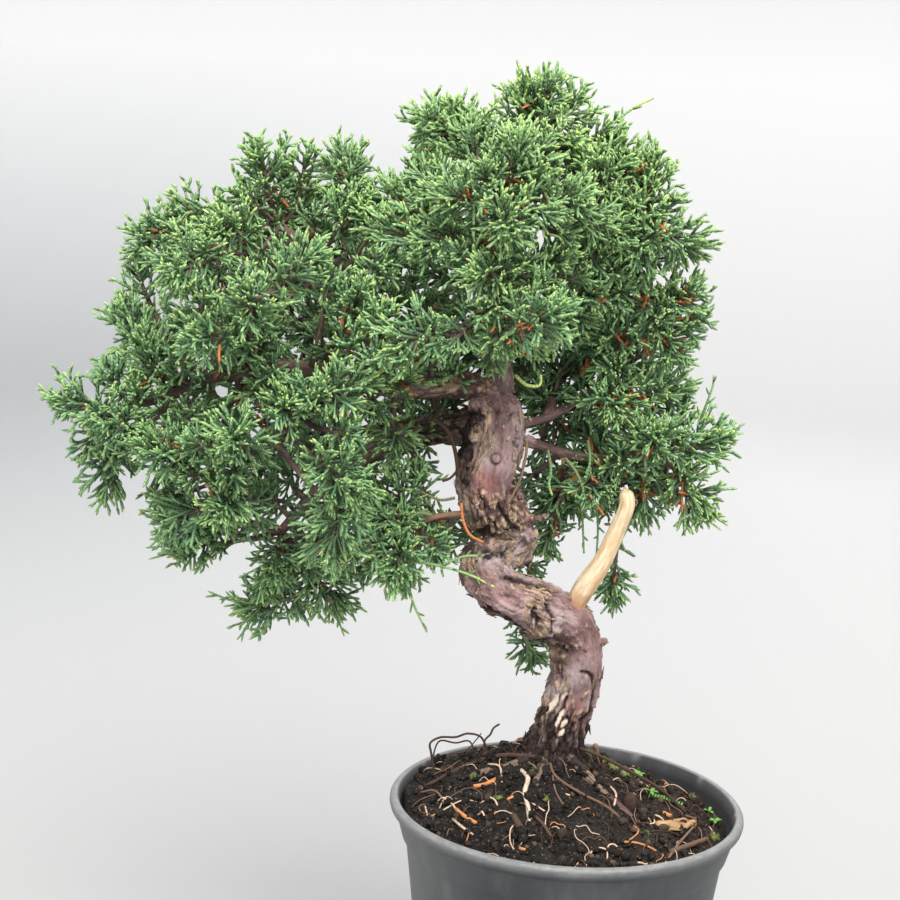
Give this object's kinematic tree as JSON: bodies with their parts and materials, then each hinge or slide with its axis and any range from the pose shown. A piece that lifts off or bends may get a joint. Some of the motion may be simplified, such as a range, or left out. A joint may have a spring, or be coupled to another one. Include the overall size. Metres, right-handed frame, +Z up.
{
  "type": "chinese juniper bonsai in a nursery pot",
  "caption": "Bonsai juniper with a twisted bare trunk, a stripped dead branch and dense cord-like foliage leaning to one side, planted in a round plastic pot.",
  "frame": {"origin": "centre of the pot's underside, on its flat centre pad", "axes": "+Z up along the pot's axis; the front is -Y; the longest branch reaches towards -X"},
  "size_m": [0.2552, 0.1528, 0.3707],
  "materials": {
    "pot_plastic": "scuffed dark grey plastic",
    "soil": "moist dark peat compost with fine roots",
    "bark": "flaking mauve-brown juniper bark",
    "deadwood": "bare cream wood with tan streaks",
    "litter": "dry bark and twig",
    "foliage": "waxy scale leaves, yellow-green at the tips"
  },
  "bodies": {
    "root": {"pot": "pot_plastic", "soil": "soil", "trunk": "bark", "jin": "deadwood", "bark_chip": "litter", "stick": "litter", "spray_left_tip": "foliage", "spray_left_low_fan": "foliage", "spray_left_shelf": "foliage", "spray_left_shoulder": "foliage", "spray_left_bright": "foliage", "spray_left_crest": "foliage", "spray_crest_gap": "foliage", "spray_left_face": "foliage", "spray_left_middle": "foliage", "spray_dense_front": "foliage", "spray_bay_front": "foliage", "spray_star_front": "foliage", "spray_chin_front": "foliage", "spray_low_front": "foliage", "spray_low_left": "foliage", "spray_low_left_hem": "foliage", "spray_heart_front": "foliage", "spray_droop": "foliage", "spray_droop_inner": "foliage", "spray_chin_sparse": "foliage", "spray_elbow_sparse": "foliage", "spray_elbow_shade": "foliage", "spray_crown_left": "foliage", "spray_apex": "foliage", "spray_crown_front": "foliage", "spray_crown_right": "foliage", "spray_brow_left": "foliage", "spray_brow_middle": "foliage", "spray_brow_right": "foliage", "spray_fringe": "foliage", "spray_right_tip_high": "foliage", "spray_right_edge": "foliage", "spray_face_front": "foliage", "spray_shade_small": "foliage", "spray_right_upper": "foliage", "spray_right_middle": "foliage", "spray_right_tip": "foliage", "spray_right_low": "foliage", "spray_right_shade": "foliage", "spray_back_waist": "foliage", "spray_back_hang": "foliage", "spray_back_fringe": "foliage", "spray_rear_left_high": "foliage", "spray_rear_left_mid": "foliage", "spray_rear_left_low": "foliage", "spray_rear_heart": "foliage", "spray_rear_crest": "foliage", "spray_rear_crown": "foliage", "spray_rear_right_high": "foliage", "spray_rear_middle": "foliage", "spray_rear_right_low": "foliage", "spray_rear_chin": "foliage", "spray_rear_nape": "foliage"}
  },
  "joints": []
}
